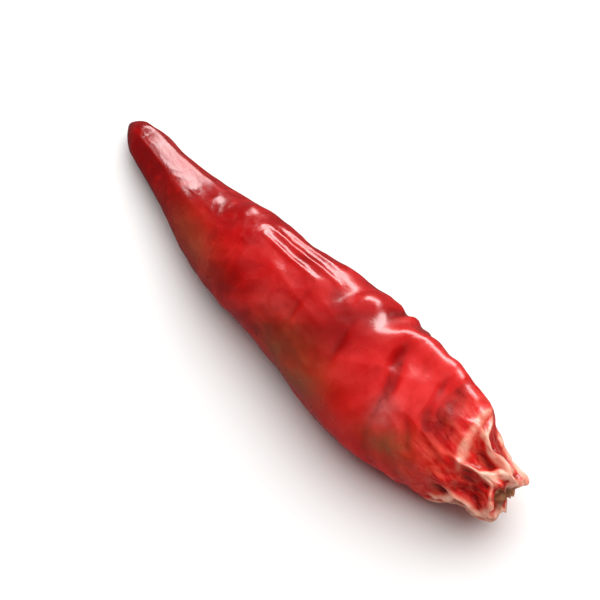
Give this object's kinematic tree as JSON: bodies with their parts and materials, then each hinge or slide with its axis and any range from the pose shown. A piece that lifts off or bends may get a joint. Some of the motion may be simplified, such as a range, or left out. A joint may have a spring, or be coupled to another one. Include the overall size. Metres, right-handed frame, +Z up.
{
  "type": "dried chilli pepper",
  "caption": "Dried red chilli pod without its stem: a slim, slightly bowed pod with a thin crooked tip, a fuller belly, wrinkled glossy skin and a puckered stem end.",
  "frame": {"origin": "centre of the pod's bounding box in X and Y, at the height of the flat underside it rests on", "axes": "+X runs along the pod from its thin tip to its puckered stem end, +Z is up as it lies on its side, and +Y is the side that the thin tip bends towards"},
  "size_m": [0.054, 0.0122, 0.011],
  "materials": {
    "dried_skin": "satin"
  },
  "bodies": {
    "root": {"chilli_pod": "dried_skin"}
  },
  "joints": []
}
